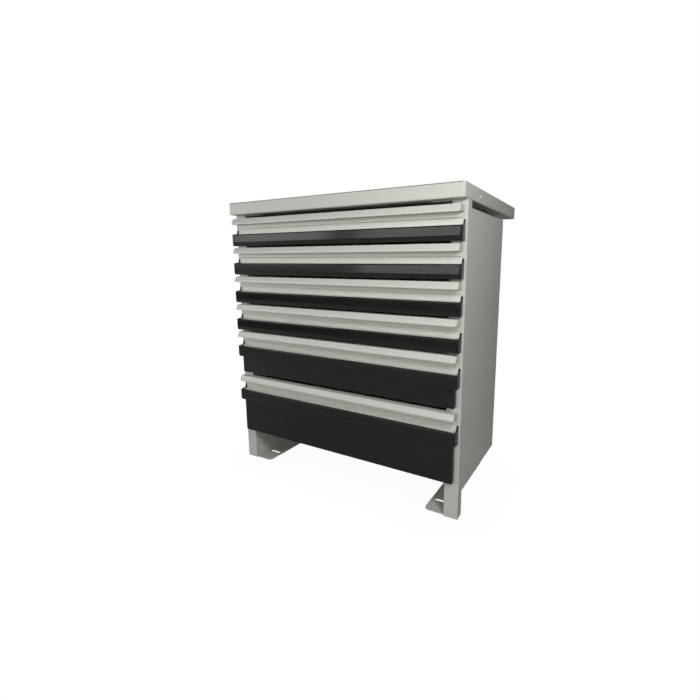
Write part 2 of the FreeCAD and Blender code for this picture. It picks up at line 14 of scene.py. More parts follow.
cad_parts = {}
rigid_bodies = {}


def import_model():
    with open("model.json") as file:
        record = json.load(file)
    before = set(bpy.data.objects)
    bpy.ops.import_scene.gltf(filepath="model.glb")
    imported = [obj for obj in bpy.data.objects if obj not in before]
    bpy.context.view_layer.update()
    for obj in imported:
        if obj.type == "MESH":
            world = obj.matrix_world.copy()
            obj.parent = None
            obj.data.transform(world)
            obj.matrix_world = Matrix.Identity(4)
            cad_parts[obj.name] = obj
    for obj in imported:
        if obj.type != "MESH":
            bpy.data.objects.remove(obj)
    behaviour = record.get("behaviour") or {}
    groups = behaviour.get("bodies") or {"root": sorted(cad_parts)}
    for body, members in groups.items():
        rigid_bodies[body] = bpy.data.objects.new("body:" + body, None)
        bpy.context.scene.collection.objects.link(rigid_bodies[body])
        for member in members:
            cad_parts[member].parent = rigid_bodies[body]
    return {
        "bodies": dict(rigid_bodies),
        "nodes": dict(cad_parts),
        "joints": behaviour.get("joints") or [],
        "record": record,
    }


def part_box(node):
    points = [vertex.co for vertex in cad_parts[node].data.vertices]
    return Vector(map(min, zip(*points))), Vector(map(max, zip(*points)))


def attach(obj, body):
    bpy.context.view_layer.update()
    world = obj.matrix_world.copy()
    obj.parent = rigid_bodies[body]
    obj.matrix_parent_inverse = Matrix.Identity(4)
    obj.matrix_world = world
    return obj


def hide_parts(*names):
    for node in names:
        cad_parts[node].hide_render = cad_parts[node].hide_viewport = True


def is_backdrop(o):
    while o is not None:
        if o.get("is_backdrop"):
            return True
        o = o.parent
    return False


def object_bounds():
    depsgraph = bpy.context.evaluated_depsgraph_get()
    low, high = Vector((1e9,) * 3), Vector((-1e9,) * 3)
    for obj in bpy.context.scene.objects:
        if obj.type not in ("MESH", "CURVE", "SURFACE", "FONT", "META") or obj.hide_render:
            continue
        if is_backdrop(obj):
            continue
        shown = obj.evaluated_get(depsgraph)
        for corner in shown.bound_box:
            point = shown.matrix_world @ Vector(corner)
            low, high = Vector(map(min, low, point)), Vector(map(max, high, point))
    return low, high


LOG = logging.getLogger("cabinet")
MM = 0.001
DRAWER_COUNT = 6
MERGE_REACH = 0.01 * MM
FLAT_WITHIN = math.radians(0.6)
VECTOR, FLOAT = "NodeSocketVector", "NodeSocketFloat"
BoxCorners = tuple[Vector, Vector]
Colour = tuple[float, float, float]
Place = tuple[float, float, float]
Section = list[tuple[float, float]]
Socket = bpy.types.NodeSocket
Piece = bpy.types.Object


# ---- small node helpers ---------------------------------------------------------------------------------
class NodeBoard:
    """A node tree with short calls for adding, setting and linking nodes."""

    def __init__(self, tree: bpy.types.NodeTree) -> None:
        """Keep the tree."""
        self.tree = tree

    def add(self, kind: str, **settings: object) -> bpy.types.Node:
        """Add a node.

        Args:
            kind: The node's type name.
            settings: Attributes to set on the node.

        Returns:
            The new node.
        """
        node = self.tree.nodes.new(kind)
        for name, value in settings.items():
            setattr(node, name, value)
        return node

    def link(self, source: Socket, target: Socket) -> None:
        """Link an output socket to an input socket."""
        self.tree.links.new(source, target)

    def feed(self, target: Socket, value: object) -> None:
        """Link or set an input socket.

        Args:
            target: The input socket.
            value: Socket or plain value.
        """
        if isinstance(value, Socket):
            self.link(value, target)
        else:
            target.default_value = value

    def feed_all(self, node: bpy.types.Node, values: dict[str, object]) -> bpy.types.Node:
        """Feed several inputs of a node.

        Args:
            node: The node.
            values: Input name, with _ for a space, to socket or value.

        Returns:
            The node.
        """
        for name, value in values.items():
            self.feed(node.inputs[name.replace("_", " ")], value)
        return node

    def fed(self, kind: str, **values: object) -> bpy.types.Node:
        """Add a node and feed its inputs, named with _ for a space."""
        return self.feed_all(self.add(kind), values)

    def math(self, operation: str, first: object, second: object, clamp: bool = False) -> Socket:
        """Add a Math node.

        Args:
            operation: The operation's name.
            first: Socket or number for the first input.
            second: Socket or number for the second input.
            clamp: Whether the result is kept between 0 and 1.

        Returns:
            The output socket.
        """
        node = self.add("ShaderNodeMath", operation=operation, use_clamp=clamp)
        self.feed(node.inputs[0], first)
        self.feed(node.inputs[1], second)
        return node.outputs[0]

    def above(self, value: object, start: float, gain: float) -> Socket:
        """Give what a value has above a start, times a gain, between 0 and 1."""
        return self.math("MULTIPLY", self.math("SUBTRACT", value, start), gain, clamp=True)

    def mix_colour(self, factor: object, first: object, second: object) -> Socket:
        """Add a colour Mix node.

        Args:
            factor: Socket or number, how much of the second colour shows.
            first: Socket or colour.
            second: Socket or colour.

        Returns:
            The mixed colour's socket.
        """
        node = self.add("ShaderNodeMix", data_type="RGBA")
        self.feed(node.inputs["Factor"], factor)
        self.feed(node.inputs[6], first)
        self.feed(node.inputs[7], second)
        return node.outputs[2]

    def noise(self, vector: Socket, scale: object, detail: float, roughness: float) -> Socket:
        """Add a noise texture.

        Args:
            vector: Coordinates to read.
            scale: Socket or number, lumps per metre.
            detail: Octaves.
            roughness: Weight of the finer octaves.

        Returns:
            The factor socket.
        """
        node = self.fed("ShaderNodeTexNoise", Vector=vector, Scale=scale, Detail=detail, Roughness=roughness)
        return node.outputs[0]

    def seen_and_lit(self, seen: Socket, lit: Socket, surface: Socket) -> None:
        """Show one shader to the camera and give the other to all other rays.

        Args:
            seen: The shader that the camera sees.
            lit: The shader for the other rays.
            surface: The output's surface socket.
        """
        ray = self.add("ShaderNodeLightPath")
        mix = self.add("ShaderNodeMixShader")
        self.link(ray.outputs["Is Camera Ray"], mix.inputs[0])
        self.link(lit, mix.inputs[1])
        self.link(seen, mix.inputs[2])
        self.link(mix.outputs[0], surface)


class SharedGroup:
    """A shader node group with named sockets, built once and placed in several materials."""

    def __init__(self, name: str, inputs: dict[str, tuple[str, object]], outputs: dict[str, str]) -> None:
        """Make the group and its sockets.

        Args:
            name: The group's name.
            inputs: Input name to socket type and default value.
            outputs: Output name to socket type.
        """
        self.tree = bpy.data.node_groups.new(name, "ShaderNodeTree")
        for label, (kind, value) in inputs.items():
            socket = self.tree.interface.new_socket(name=label, in_out="INPUT", socket_type=kind)
            if value is not None:
                socket.default_value = value
        for label, kind in outputs.items():
            self.tree.interface.new_socket(name=label, in_out="OUTPUT", socket_type=kind)
        self.board = NodeBoard(self.tree)
        self.given = self.board.add("NodeGroupInput").outputs
        self.result = self.board.add("NodeGroupOutput").inputs

    def place(self, board: NodeBoard, **values: object) -> bpy.types.Node:
        """Place the group on a material's board and feed its inputs, named with _ for a space."""
        return board.feed_all(board.add("ShaderNodeGroup", node_tree=self.tree), values)


# ---- finishes -------------------------------------------------------------------------------------------
class SharedEffects:
    """The surface effects that several finishes use, each as one shader node group."""

    GRIT_RATIO, SPECK_START, SPECK_GAIN = 3.7, 0.66, 6.0
    SMUDGE_RATIO, MARK_START, MARK_GAIN = 6.0, 0.16, 5.0
    UPWARD_START, PATCH_SCALE, PATCH_START, DUST_GAIN = 0.55, 34.0, 0.35, 2.2
    STREAK_SCALE, BLOOM_SCALE = 900.0, 70.0

    def __init__(self) -> None:
        """Build every group."""
        self.coat = self._coat_texture()
        self.handling = self._handling_marks()
        self.settled = self._settled_dust()
        self.plating = self._plating_streaks()

    def _coat_texture(self) -> SharedGroup:
        """Build the fine orange-peel surface of a sprayed or moulded skin.

        Returns:
            A group with Height and Speck outputs.
        """
        group = SharedGroup(
            "coat_texture",
            {"Place": (VECTOR, None), "Peel Scale": (FLOAT, 700.0), "Grit Share": (FLOAT, 0.3)},
            {"Height": FLOAT, "Speck": FLOAT},
        )
        board, given, result = group.board, group.given, group.result
        peel = board.noise(given["Place"], given["Peel Scale"], detail=2.0, roughness=0.5)
        grit_scale = board.math("MULTIPLY", given["Peel Scale"], self.GRIT_RATIO)
        grit = board.noise(given["Place"], grit_scale, detail=1.0, roughness=0.5)
        share = board.math("MULTIPLY", grit, given["Grit Share"])
        board.link(board.math("ADD", peel, share), result["Height"])
        board.link(board.above(grit, self.SPECK_START, self.SPECK_GAIN), result["Speck"])
        return group

    def _handling_marks(self) -> SharedGroup:
        """Build the broad soft smudges that hands and cloths leave.

        Returns:
            A group with a Mark output between 0 and 1.
        """
        inputs = {"Place": (VECTOR, None), "Mark Scale": (FLOAT, 9.0)}
        group = SharedGroup("handling_marks", inputs, {"Mark": FLOAT})
        board, given = group.board, group.given
        broad = board.noise(given["Place"], given["Mark Scale"], detail=3.0, roughness=0.55)
        fine_scale = board.math("MULTIPLY", given["Mark Scale"], self.SMUDGE_RATIO)
        fine = board.noise(given["Place"], fine_scale, detail=4.0, roughness=0.65)
        both = board.math("MULTIPLY", broad, fine)
        board.link(board.above(both, self.MARK_START, self.MARK_GAIN), group.result["Mark"])
        return group

    def _settled_dust(self) -> SharedGroup:
        """Build the thin dust that lies on faces that look up.

        Returns:
            A group with a Dust output between 0 and 1.
        """
        inputs = {"Place": (VECTOR, None), "Facing": (VECTOR, None), "Amount": (FLOAT, 0.2)}
        group = SharedGroup("settled_dust", inputs, {"Dust": FLOAT})
        board, given = group.board, group.given
        split = board.fed("ShaderNodeSeparateXYZ", Vector=given["Facing"])
        upward = board.above(split.outputs[2], self.UPWARD_START, self.DUST_GAIN)
        patch = board.noise(given["Place"], self.PATCH_SCALE, detail=5.0, roughness=0.7)
        patch = board.above(patch, self.PATCH_START, self.DUST_GAIN)
        dust = board.math("MULTIPLY", upward, patch)
        board.link(board.math("MULTIPLY", dust, given["Amount"], clamp=True), group.result["Dust"])
        return group

    def _plating_streaks(self) -> SharedGroup:
        """Build the rolled streaks and the cloudy bloom of bright zinc plate.

        Returns:
            A group with Streak and Bloom outputs.
        """
        inputs = {"Place": (VECTOR, None), "Stretch": (VECTOR, (1.0, 0.04, 1.0))}
        group = SharedGroup("plating_streaks", inputs, {"Streak": FLOAT, "Bloom": FLOAT})
        board, given, result = group.board, group.given, group.result
        stretched = board.add("ShaderNodeVectorMath", operation="MULTIPLY")
        board.link(given["Place"], stretched.inputs[0])
        board.link(given["Stretch"], stretched.inputs[1])
        streak = board.noise(stretched.outputs[0], self.STREAK_SCALE, detail=3.0, roughness=0.6)
        bloom = board.noise(given["Place"], self.BLOOM_SCALE, detail=4.0, roughness=0.6)
        board.link(streak, result["Streak"])
        board.link(bloom, result["Bloom"])
        return group


class MaterialBench:
    """A new material with its shader, its board, and the place and facing of each point."""

    def __init__(self, name: str, **plain: float) -> None:
        """Open the material.

        Args:
            name: The material's name.
            plain: Shader input, with _ for a space, to a value that is the same all over.
        """
        self.material = bpy.data.materials.new(name)
        self.material.use_nodes = True
        self.board = NodeBoard(self.material.node_tree)
        self.shader = self.material.node_tree.nodes["Principled BSDF"]
        self.board.feed_all(self.shader, plain)
        coordinates = self.board.add("ShaderNodeTexCoord")
        self.where, self.facing = coordinates.outputs["Object"], coordinates.outputs["Normal"]

    def finish(
        self, tone: Socket, gloss: Socket, height: Socket, depth: float, strength: float = 1.0
    ) -> bpy.types.Material:
        """Link the colour, the roughness and the bump to the shader.

        Args:
            tone: The colour.
            gloss: The roughness.
            height: The bump's height.
            depth: The bump's depth in metres.
            strength: The bump's strength.

        Returns:
            The finished material.
        """
        bump = self.board.fed("ShaderNodeBump", Strength=strength, Distance=depth, Height=height)
        looks = {"Base Color": tone, "Roughness": gloss, "Normal": bump.outputs[0]}
        self.board.feed_all(self.shader, looks)
        return self.material


@dataclass(frozen=True)
class PowderCoat:
    """A sprayed satin coat on steel or aluminium."""

    GRIT_SHARE, MARK_SCALE, MARK_ROUGHNESS = 0.35, 7.0, 0.10
    CLOUD_SCALE, CLOUD_START, CLOUD_GAIN = 3.1, 0.3, 0.9
    SPECK_SHARE, SPECK_TONE = 0.22, 0.72
    DUST_COLOUR, DUST_ROUGHNESS = (0.52, 0.50, 0.46, 1.0), 0.3

    slot: str
    colour: Colour
    shade: Colour
    roughness: float = 0.42
    specular: float = 0.5
    peel_scale: float = 620.0
    peel_depth: float = 0.000045
    dust: float = 0.25
    metallic: float = 0.0

    def make(self, effects: SharedEffects) -> bpy.types.Material:
        """Make the material.

        Args:
            effects: The shared surface effects.

        Returns:
            The finished material.
        """
        bench = MaterialBench(self.slot, Specular_IOR_Level=self.specular, Metallic=self.metallic)
        board, where = bench.board, bench.where
        coat = effects.coat.place(board, Place=where, Peel_Scale=self.peel_scale, Grit_Share=self.GRIT_SHARE)
        marks = effects.handling.place(board, Place=where, Mark_Scale=self.MARK_SCALE)
        dust = effects.settled.place(board, Place=where, Facing=bench.facing, Amount=self.dust).outputs["Dust"]
        cloud = board.noise(where, self.CLOUD_SCALE, detail=3.0, roughness=0.5)
        cloud = board.above(cloud, self.CLOUD_START, self.CLOUD_GAIN)
        tone = board.mix_colour(cloud, (*self.shade, 1.0), (*self.colour, 1.0))
        speck = board.math("MULTIPLY", coat.outputs["Speck"], self.SPECK_SHARE)
        tone = board.mix_colour(speck, tone, (*(self.SPECK_TONE * part for part in self.colour), 1.0))
        tone = board.mix_colour(dust, tone, self.DUST_COLOUR)
        gloss = board.math("MULTIPLY", marks.outputs["Mark"], self.MARK_ROUGHNESS)
        gloss = board.math("ADD", gloss, self.roughness)
        gloss = board.math("ADD", gloss, board.math("MULTIPLY", dust, self.DUST_ROUGHNESS))
        return bench.finish(tone, gloss, coat.outputs["Height"], self.peel_depth)


@dataclass(frozen=True)
class BlackMoulding:
    """A glossy black moulded skin with faint wipe marks."""

    GRAIN_SCALE, GRIT_SHARE, MARK_SCALE, SPECULAR = 520.0, 0.15, 11.0, 0.5
    DUST, DUST_COLOUR = 0.12, (0.20, 0.19, 0.18, 1.0)

    slot: str
    colour: Colour
    mark_colour: Colour
    roughness: float
    mark_roughness: float
    grain_depth: float

    def make(self, effects: SharedEffects) -> bpy.types.Material:
        """Make the material.

        Args:
            effects: The shared surface effects.

        Returns:
            The finished material.
        """
        bench = MaterialBench(self.slot, Specular_IOR_Level=self.SPECULAR)
        board, where = bench.board, bench.where
        coat = effects.coat.place(board, Place=where, Peel_Scale=self.GRAIN_SCALE, Grit_Share=self.GRIT_SHARE)
        mark = effects.handling.place(board, Place=where, Mark_Scale=self.MARK_SCALE).outputs["Mark"]
        dust = effects.settled.place(board, Place=where, Facing=bench.facing, Amount=self.DUST)
        tone = board.mix_colour(mark, (*self.colour, 1.0), (*self.mark_colour, 1.0))
        tone = board.mix_colour(dust.outputs["Dust"], tone, self.DUST_COLOUR)
        gloss = board.math("ADD", board.math("MULTIPLY", mark, self.mark_roughness), self.roughness)
        return bench.finish(tone, gloss, coat.outputs["Height"], self.grain_depth)


@dataclass(frozen=True)
class ZincPlate:
    """Bright zinc plate with rolled streaks."""

    STREAK_ROUGHNESS, STREAK_DEPTH, STREAK_STRENGTH = 0.22, 0.00003, 0.6

    slot: str
    bright: Colour
    dull: Colour
    roughness: float
    stretch: Place

    def make(self, effects: SharedEffects) -> bpy.types.Material:
        """Make the material.

        Args:
            effects: The shared surface effects.

        Returns:
            The finished material.
        """
        bench = MaterialBench(self.slot, Metallic=1.0)
        board = bench.board
        plating = effects.plating.place(board, Place=bench.where, Stretch=self.stretch)
        streak = plating.outputs["Streak"]
        tone = board.mix_colour(plating.outputs["Bloom"], (*self.dull, 1.0), (*self.bright, 1.0))
        gloss = board.math("ADD", board.math("MULTIPLY", streak, self.STREAK_ROUGHNESS), self.roughness)
        return bench.finish(tone, gloss, streak, self.STREAK_DEPTH, self.STREAK_STRENGTH)


class Finish(Enum):
    """The finishes of the cabinet, each for one of the record's material slots."""

    GREY_STEEL = PowderCoat("grey_steel", (0.56, 0.555, 0.515), (0.535, 0.53, 0.49))
    # painted shade: a dark copy of the grey steel, for the top edge of the tray's rolled front and rear lips
    PAINTED_SHADE_EDGE = PowderCoat("grey_steel", (0.24, 0.237, 0.22), (0.22, 0.217, 0.20))
    DRAWER_STEEL = PowderCoat(
        "drawer_steel", (0.53, 0.525, 0.485), (0.50, 0.497, 0.46), roughness=0.45, dust=0.3
    )
    GRIP_COATING = PowderCoat(
        "grip_coating",
        (0.605, 0.60, 0.56),
        (0.585, 0.58, 0.54),
        roughness=0.4,
        peel_scale=820.0,
        peel_depth=0.00001,
        dust=0.15,
        metallic=0.08,
    )
    GRIP_CAP = PowderCoat(
        "grip_cap_plastic",
        (0.52, 0.515, 0.48),
        (0.50, 0.495, 0.46),
        roughness=0.5,
        specular=0.4,
        peel_scale=1100.0,
        peel_depth=0.00005,
        dust=0.1,
    )
    BLACK_MOULDING = BlackMoulding(
        "black_moulding",
        (0.009, 0.009, 0.009),
        (0.011, 0.011, 0.011),
        roughness=0.13,
        mark_roughness=0.04,
        grain_depth=0.000005,
    )
    ZINC_SLIDES = ZincPlate(
        "zinc_slides", (0.70, 0.71, 0.72), (0.52, 0.53, 0.54), roughness=0.24, stretch=(1.0, 0.03, 1.0)
    )
    ZINC_SCREWS = ZincPlate(
        "zinc_screws", (0.72, 0.72, 0.71), (0.50, 0.50, 0.50), roughness=0.22, stretch=(1.0, 1.0, 1.0)
    )


class Workshop:
    """What every sub-assembly needs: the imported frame, the made finishes and the way to hand a piece over."""

    def __init__(self, frame: dict) -> None:
        """Make the shared effects and all finishes.
        """
        self.nodes = frame["nodes"]
        self.body_of = {
            node: body
            for body, members in frame["record"]["behaviour"]["bodies"].items()
            for node in members
        }
        effects = SharedEffects()
        self.finishes = {finish: finish.value.make(effects) for finish in Finish}

    def dress(self, piece: Piece, finish: Finish) -> None:
        """Give a finish to a piece as its only material."""
        piece.data.materials.clear()
        piece.data.materials.append(self.finishes[finish])

    def hand_over(self, piece: Piece, finish: Finish, *nodes: str) -> None:
        """Dress a finished piece, put it on its body and let it stand for CAD nodes.

        Args:
            piece: The finished piece, with its place in its mesh.
            finish: The finish to dress it with.
            nodes: The CAD nodes that it stands for.
        """
        for member in (piece, *(self.nodes[node] for node in nodes)):
            self.dress(member, finish)
        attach(piece, self.body_of[nodes[0]])
        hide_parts(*nodes)
        LOG.info("%s: %d faces for %s", piece.name, len(piece.data.polygons), ", ".join(nodes))


# ---- mesh helpers ---------------------------------------------------------------------------------------
def new_piece(name: str, mesh: bpy.types.ID) -> Piece:
    """Put a mesh or a curve into the scene as an object at the origin.

    Args:
        name: The object's name.
        mesh: Its mesh or curve.

    Returns:
        The object.
    """
    piece = bpy.data.objects.new(name, mesh)
    bpy.context.scene.collection.objects.link(piece)
    return piece


def piece_of(name: str, work: bmesh.types.BMesh, turn_outwards: bool = True) -> Piece:
    """End the work on a mesh and make it a piece.

    Args:
        name: The piece's name.
        work: The mesh under work.
        turn_outwards: Whether its faces are turned outwards first.

    Returns:
        The piece.
    """
    if turn_outwards:
        bmesh.ops.recalc_face_normals(work, faces=work.faces)
    mesh = bpy.data.meshes.new(name)
    work.to_mesh(mesh)
    work.free()
    return new_piece(name, mesh)


def bridge(work: bmesh.types.BMesh, first: list, second: list) -> None:
    """Join two rings of corners with a band of faces.

    Args:
        work: The mesh under work.
        first: The first ring's vertices.
        second: The second ring's vertices, as many as the first's.
    """
    for index in range(len(first)):
        after = (index + 1) % len(first)
        work.faces.new((first[index], first[after], second[after], second[index]))


def settle(piece: Piece) -> Piece:
    """Turn a piece's modifiers into a plain mesh.

    Args:
        piece: A piece with live modifiers.

    Returns:
        The same piece, with the result as its mesh.
    """
    bpy.context.view_layer.update()
    graph = bpy.context.evaluated_depsgraph_get()
    mesh = bpy.data.meshes.new_from_object(
        piece.evaluated_get(graph), preserve_all_data_layers=True, depsgraph=graph
    )
    piece.modifiers.clear()
    if piece.type == "MESH":
        piece.data = mesh
        return piece
    name = piece.name
    bpy.data.objects.remove(piece)
    return new_piece(name, mesh)


def soften_edges(piece: Piece, width: float, sharpest: float = 38.0, flat_weight: int = 80) -> Piece:
    """Round a piece's sharp edges and keep its flat faces flat.

    Args:
        piece: The piece.
        width: Width of the rounding in metres.
        sharpest: Angle in degrees up to which an edge is left alone.
        flat_weight: How strongly the large faces keep the normals flat.

    Returns:
        The piece with a plain mesh.
    """
    bevel = piece.modifiers.new("edge", "BEVEL")
    bevel.width = width
    bevel.segments = 2
    bevel.limit_method = "ANGLE"
    bevel.angle_limit = math.radians(sharpest)
    bevel.use_clamp_overlap = True
    bevel.miter_outer = "MITER_ARC"
    settle(piece)
    smooth_shading(piece.data)
    weighted = piece.modifiers.new("normals", "WEIGHTED_NORMAL")
    weighted.keep_sharp = True
    weighted.weight = flat_weight
    return settle(piece)


def smooth_shading(mesh: bpy.types.Mesh, angle: float = 42.0) -> None:
    """Shade a mesh smoothly except across edges sharper than an angle."""
    mesh.polygons.foreach_set("use_smooth", [True] * len(mesh.polygons))
    mesh.set_sharp_from_angle(angle=math.radians(angle))


def refined_copy(source: Piece, name: str, width: float) -> Piece:
    """Copy a CAD node, join its triangles into whole faces and round its sharp edges.

    Args:
        source: The CAD node's object.
        name: The new piece's name.
        width: Width of the edge rounding in metres.

    Returns:
        The new piece.
    """
    work = bmesh.new()
    work.from_mesh(source.data)
    bmesh.ops.remove_doubles(work, verts=work.verts, dist=MERGE_REACH)
    bmesh.ops.dissolve_limit(work, angle_limit=FLAT_WITHIN, verts=work.verts, edges=work.edges)
    return soften_edges(piece_of(name, work, turn_outwards=False), width)


def arc(centre: tuple[float, float], radius: float, start: float, end: float, steps: int) -> Section:
    """Give the points of an arc in a section.

    Args:
        centre: The arc's centre.
        radius: Its radius.
        start: First angle in degrees.
        end: Last angle in degrees.
        steps: Steps along it.

    Returns:
        The points, with both ends.
    """
    points = []
    for step in range(steps + 1):
        angle = math.radians(start + (end - start) * step / steps)
        points.append((centre[0] + radius * math.cos(angle), centre[1] + radius * math.sin(angle)))
    return points


def rounded_loop(box: tuple[float, float, float, float], radius: float, steps: int) -> Section:
    """Give the points of a rectangle with rounded corners, in order.

    Args:
        box: Lowest x, highest x, lowest y and highest y.
        radius: Corner radius.
        steps: Steps in each corner.

    Returns:
        The points, 4 * (steps + 1) of them.
    """
    left, right, front, rear = box[0] + radius, box[1] - radius, box[2] + radius, box[3] - radius
    points = []
    for turn, centre in enumerate(((right, rear), (left, rear), (left, front), (right, front))):
        points += arc(centre, radius, 90.0 * turn, 90.0 * (turn + 1), steps)
    return points


def swept_pan(name: str, limits: BoxCorners, section: Section, corner: float, steps: int) -> Piece:
    """Sweep a wall's section around a rectangle, with a floor at both ends of the section.

    Args:
        name: The piece's name.
        limits: Lowest and highest corner of the pan's box.
        section: (inset, height) points, from the underside over the rim to the inner floor.
        corner: Outer radius of the upright corners.
        steps: Steps in each corner.

    Returns:
        The closed pan.
    """
    low, high = limits
    least_radius = 0.2 * MM
    work = bmesh.new()
    rings = []
    for inset, height in section:
        box = (low.x + inset, high.x - inset, low.y + inset, high.y - inset)
        loop = rounded_loop(box, max(corner - inset, least_radius), steps)
        rings.append([work.verts.new((x, y, low.z + height)) for x, y in loop])
    for lower, upper in zip(rings, rings[1:]):
        bridge(work, lower, upper)
    work.faces.new(list(reversed(rings[0])))
    work.faces.new(rings[-1])
    return piece_of(name, work)


# ---- node-built pieces ----------------------------------------------------------------------------------
class PieceTree:
    """A geometry node tree whose inputs are set by their sockets' identifiers."""

    def __init__(self, name: str, inputs: dict[str, str]) -> None:
        """Make the tree, its geometry sockets and its named inputs.

        Args:
            name: The tree's name.
            inputs: Input name to socket type.
        """
        self.tree = bpy.data.node_groups.new(name, "GeometryNodeTree")
        self.tree.interface.new_socket(name="Geometry", in_out="INPUT", socket_type="NodeSocketGeometry")
        self.identifiers = {}
        for label, kind in inputs.items():
            socket = self.tree.interface.new_socket(name=label, in_out="INPUT", socket_type=kind)
            self.identifiers[label] = socket.identifier
        self.tree.interface.new_socket(name="Geometry", in_out="OUTPUT", socket_type="NodeSocketGeometry")
        self.board = NodeBoard(self.tree)
        self.given = self.board.add("NodeGroupInput").outputs
        self.result = self.board.add("NodeGroupOutput").inputs

    def close(self, geometry: Socket) -> None:
        """End the tree in Realize Instances and Set Material.

        Args:
            geometry: The geometry to end with.
        """
        realize = self.board.fed("GeometryNodeRealizeInstances", Geometry=geometry)
        dress = self.board.fed(
            "GeometryNodeSetMaterial", Geometry=realize.outputs[0], Material=self.given["Finish"]
        )
        self.board.link(dress.outputs[0], self.result[0])

    def run(self, piece: Piece, values: dict[str, object]) -> Piece:
        """Run the tree on a piece and keep the result as a plain mesh.

        Args:
            piece: The object that carries the starting geometry.
            values: Input name to value.

        Returns:
            The finished piece.
        """
        modifier = piece.modifiers.new("tree", "NODES")
        modifier.node_group = self.tree
        for label, value in values.items():
            modifier[self.identifiers[label]] = value
        return settle(piece)

    def vector(self, name: str) -> Socket:
        """Read a named vector attribute."""
        node = self.board.add("GeometryNodeInputNamedAttribute", data_type="FLOAT_VECTOR")
        return self.board.feed_all(node, {"Name": name}).outputs[0]

    def moved(self, geometry: Socket, shift: object, turn: Place = (0.0, 0.0, 0.0)) -> Socket:
        """Turn and then move a geometry.

        Args:
            geometry: The geometry.
            shift: Socket or distances to move it by.
            turn: Angles to turn it by.

        Returns:
            The moved geometry.
        """
        return self.board.fed(
            "GeometryNodeTransform", Geometry=geometry, Translation=shift, Rotation=turn
        ).outputs[0]


def extrusion_tree() -> PieceTree:
    """Build the tree that fills a drawn section and draws it out along X.

    Returns:
        The tree.
    """
    inputs = {"Half Length": FLOAT, "Lift": VECTOR, "Finish": "NodeSocketMaterial"}
    tree = PieceTree("grip_extrusion", inputs)
    board, given = tree.board, tree.given
    merge_reach = 0.005 * MM
    along_x = (math.radians(90.0), 0.0, math.radians(90.0))
    fill = board.fed("GeometryNodeFillCurve", Curve=given["Geometry"]).outputs[0]
    extrude = board.add("GeometryNodeExtrudeMesh", mode="FACES")
    length = board.math("MULTIPLY", given["Half Length"], 2.0)
    board.feed_all(extrude, {"Individual": False, "Mesh": fill, "Offset Scale": length})
    turned = board.fed("GeometryNodeFlipFaces", Mesh=fill)
    joined = board.add("GeometryNodeJoinGeometry")
    board.link(turned.outputs[0], joined.inputs[0])
    board.link(extrude.outputs["Mesh"], joined.inputs[0])
    merged = board.fed("GeometryNodeMergeByDistance", Geometry=joined.outputs[0], Distance=merge_reach)
    shift = board.fed("ShaderNodeCombineXYZ", Z=board.math("MULTIPLY", given["Half Length"], -1.0))
    centred = tree.moved(merged.outputs[0], shift.outputs[0])
    tree.close(tree.moved(centred, given["Lift"], along_x))
    return tree


def screw_tree() -> PieceTree:
    """Build the tree that sets a pan-head screw with a hexagon socket on every marked seat.

    Returns:
        The tree, in which the head and the shank are one unit in radius and height.
    """
    tree = PieceTree("screw_set", {"Sides": "NodeSocketInt", "Finish": "NodeSocketMaterial"})
    board, sides = tree.board, tree.given["Sides"]
    cylinder = "GeometryNodeMeshCylinder"
    half, crown_top = 0.5, 0.74
    socket_radius, socket_depth, shank_sides = 0.46, 0.9, 12
    skirt = board.fed(cylinder, Vertices=sides, Radius=1.0, Depth=half)
    crown = board.fed(
        "GeometryNodeMeshCone", Vertices=sides, Radius_Top=crown_top, Radius_Bottom=1.0, Depth=half
    )
    socket = board.fed(cylinder, Vertices=6, Radius=socket_radius, Depth=socket_depth)
    head = board.add("GeometryNodeMeshBoolean", operation="UNION")
    board.link(tree.moved(skirt.outputs["Mesh"], (0.0, 0.0, half / 2.0)), head.inputs["Mesh 2"])
    board.link(tree.moved(crown.outputs["Mesh"], (0.0, 0.0, half)), head.inputs["Mesh 2"])
    cut = board.add("GeometryNodeMeshBoolean", operation="DIFFERENCE")
    board.link(head.outputs["Mesh"], cut.inputs["Mesh 1"])
    board.link(tree.moved(socket.outputs["Mesh"], (0.0, 0.0, socket_depth)), cut.inputs["Mesh 2"])
    shank = board.fed(cylinder, Vertices=shank_sides, Radius=1.0, Depth=1.0)
    sunk = tree.moved(shank.outputs["Mesh"], (0.0, 0.0, -half))
    turn = board.add("FunctionNodeAlignEulerToVector", axis="Z")
    board.link(tree.vector("facing"), turn.inputs["Vector"])
    parts = board.add("GeometryNodeJoinGeometry")
    for geometry, size in ((cut.outputs["Mesh"], "head_size"), (sunk, "shank_size")):
        placed = board.fed(
            "GeometryNodeInstanceOnPoints",
            Points=tree.given["Geometry"],
            Instance=geometry,
            Rotation=turn.outputs[0],
            Scale=tree.vector(size),
        )
        board.link(placed.outputs[0], parts.inputs[0])
    tree.close(parts.outputs[0])
    return tree


# ---- sub-assemblies -------------------------------------------------------------------------------------
@dataclass
class FoldedFrame:
    """The sheet-steel side frames, rails and rear panel."""

    edge: float = 0.45 * MM
    nodes: tuple[str, ...] = (
        "side_panel_left",
        "side_panel_right",
        "inner_panel_left",
        "inner_panel_right",
        "rear_panel",
        "base_rail_front",
        "base_rail_rear",
    )

    def build(self, shop: Workshop) -> None:
        """Build and dress each folded sheet.

        Args:
            shop: The workshop.
        """
        for node in self.nodes:
            piece = refined_copy(shop.nodes[node], "folded_" + node, self.edge)
            shop.hand_over(piece, Finish.GREY_STEEL, node)


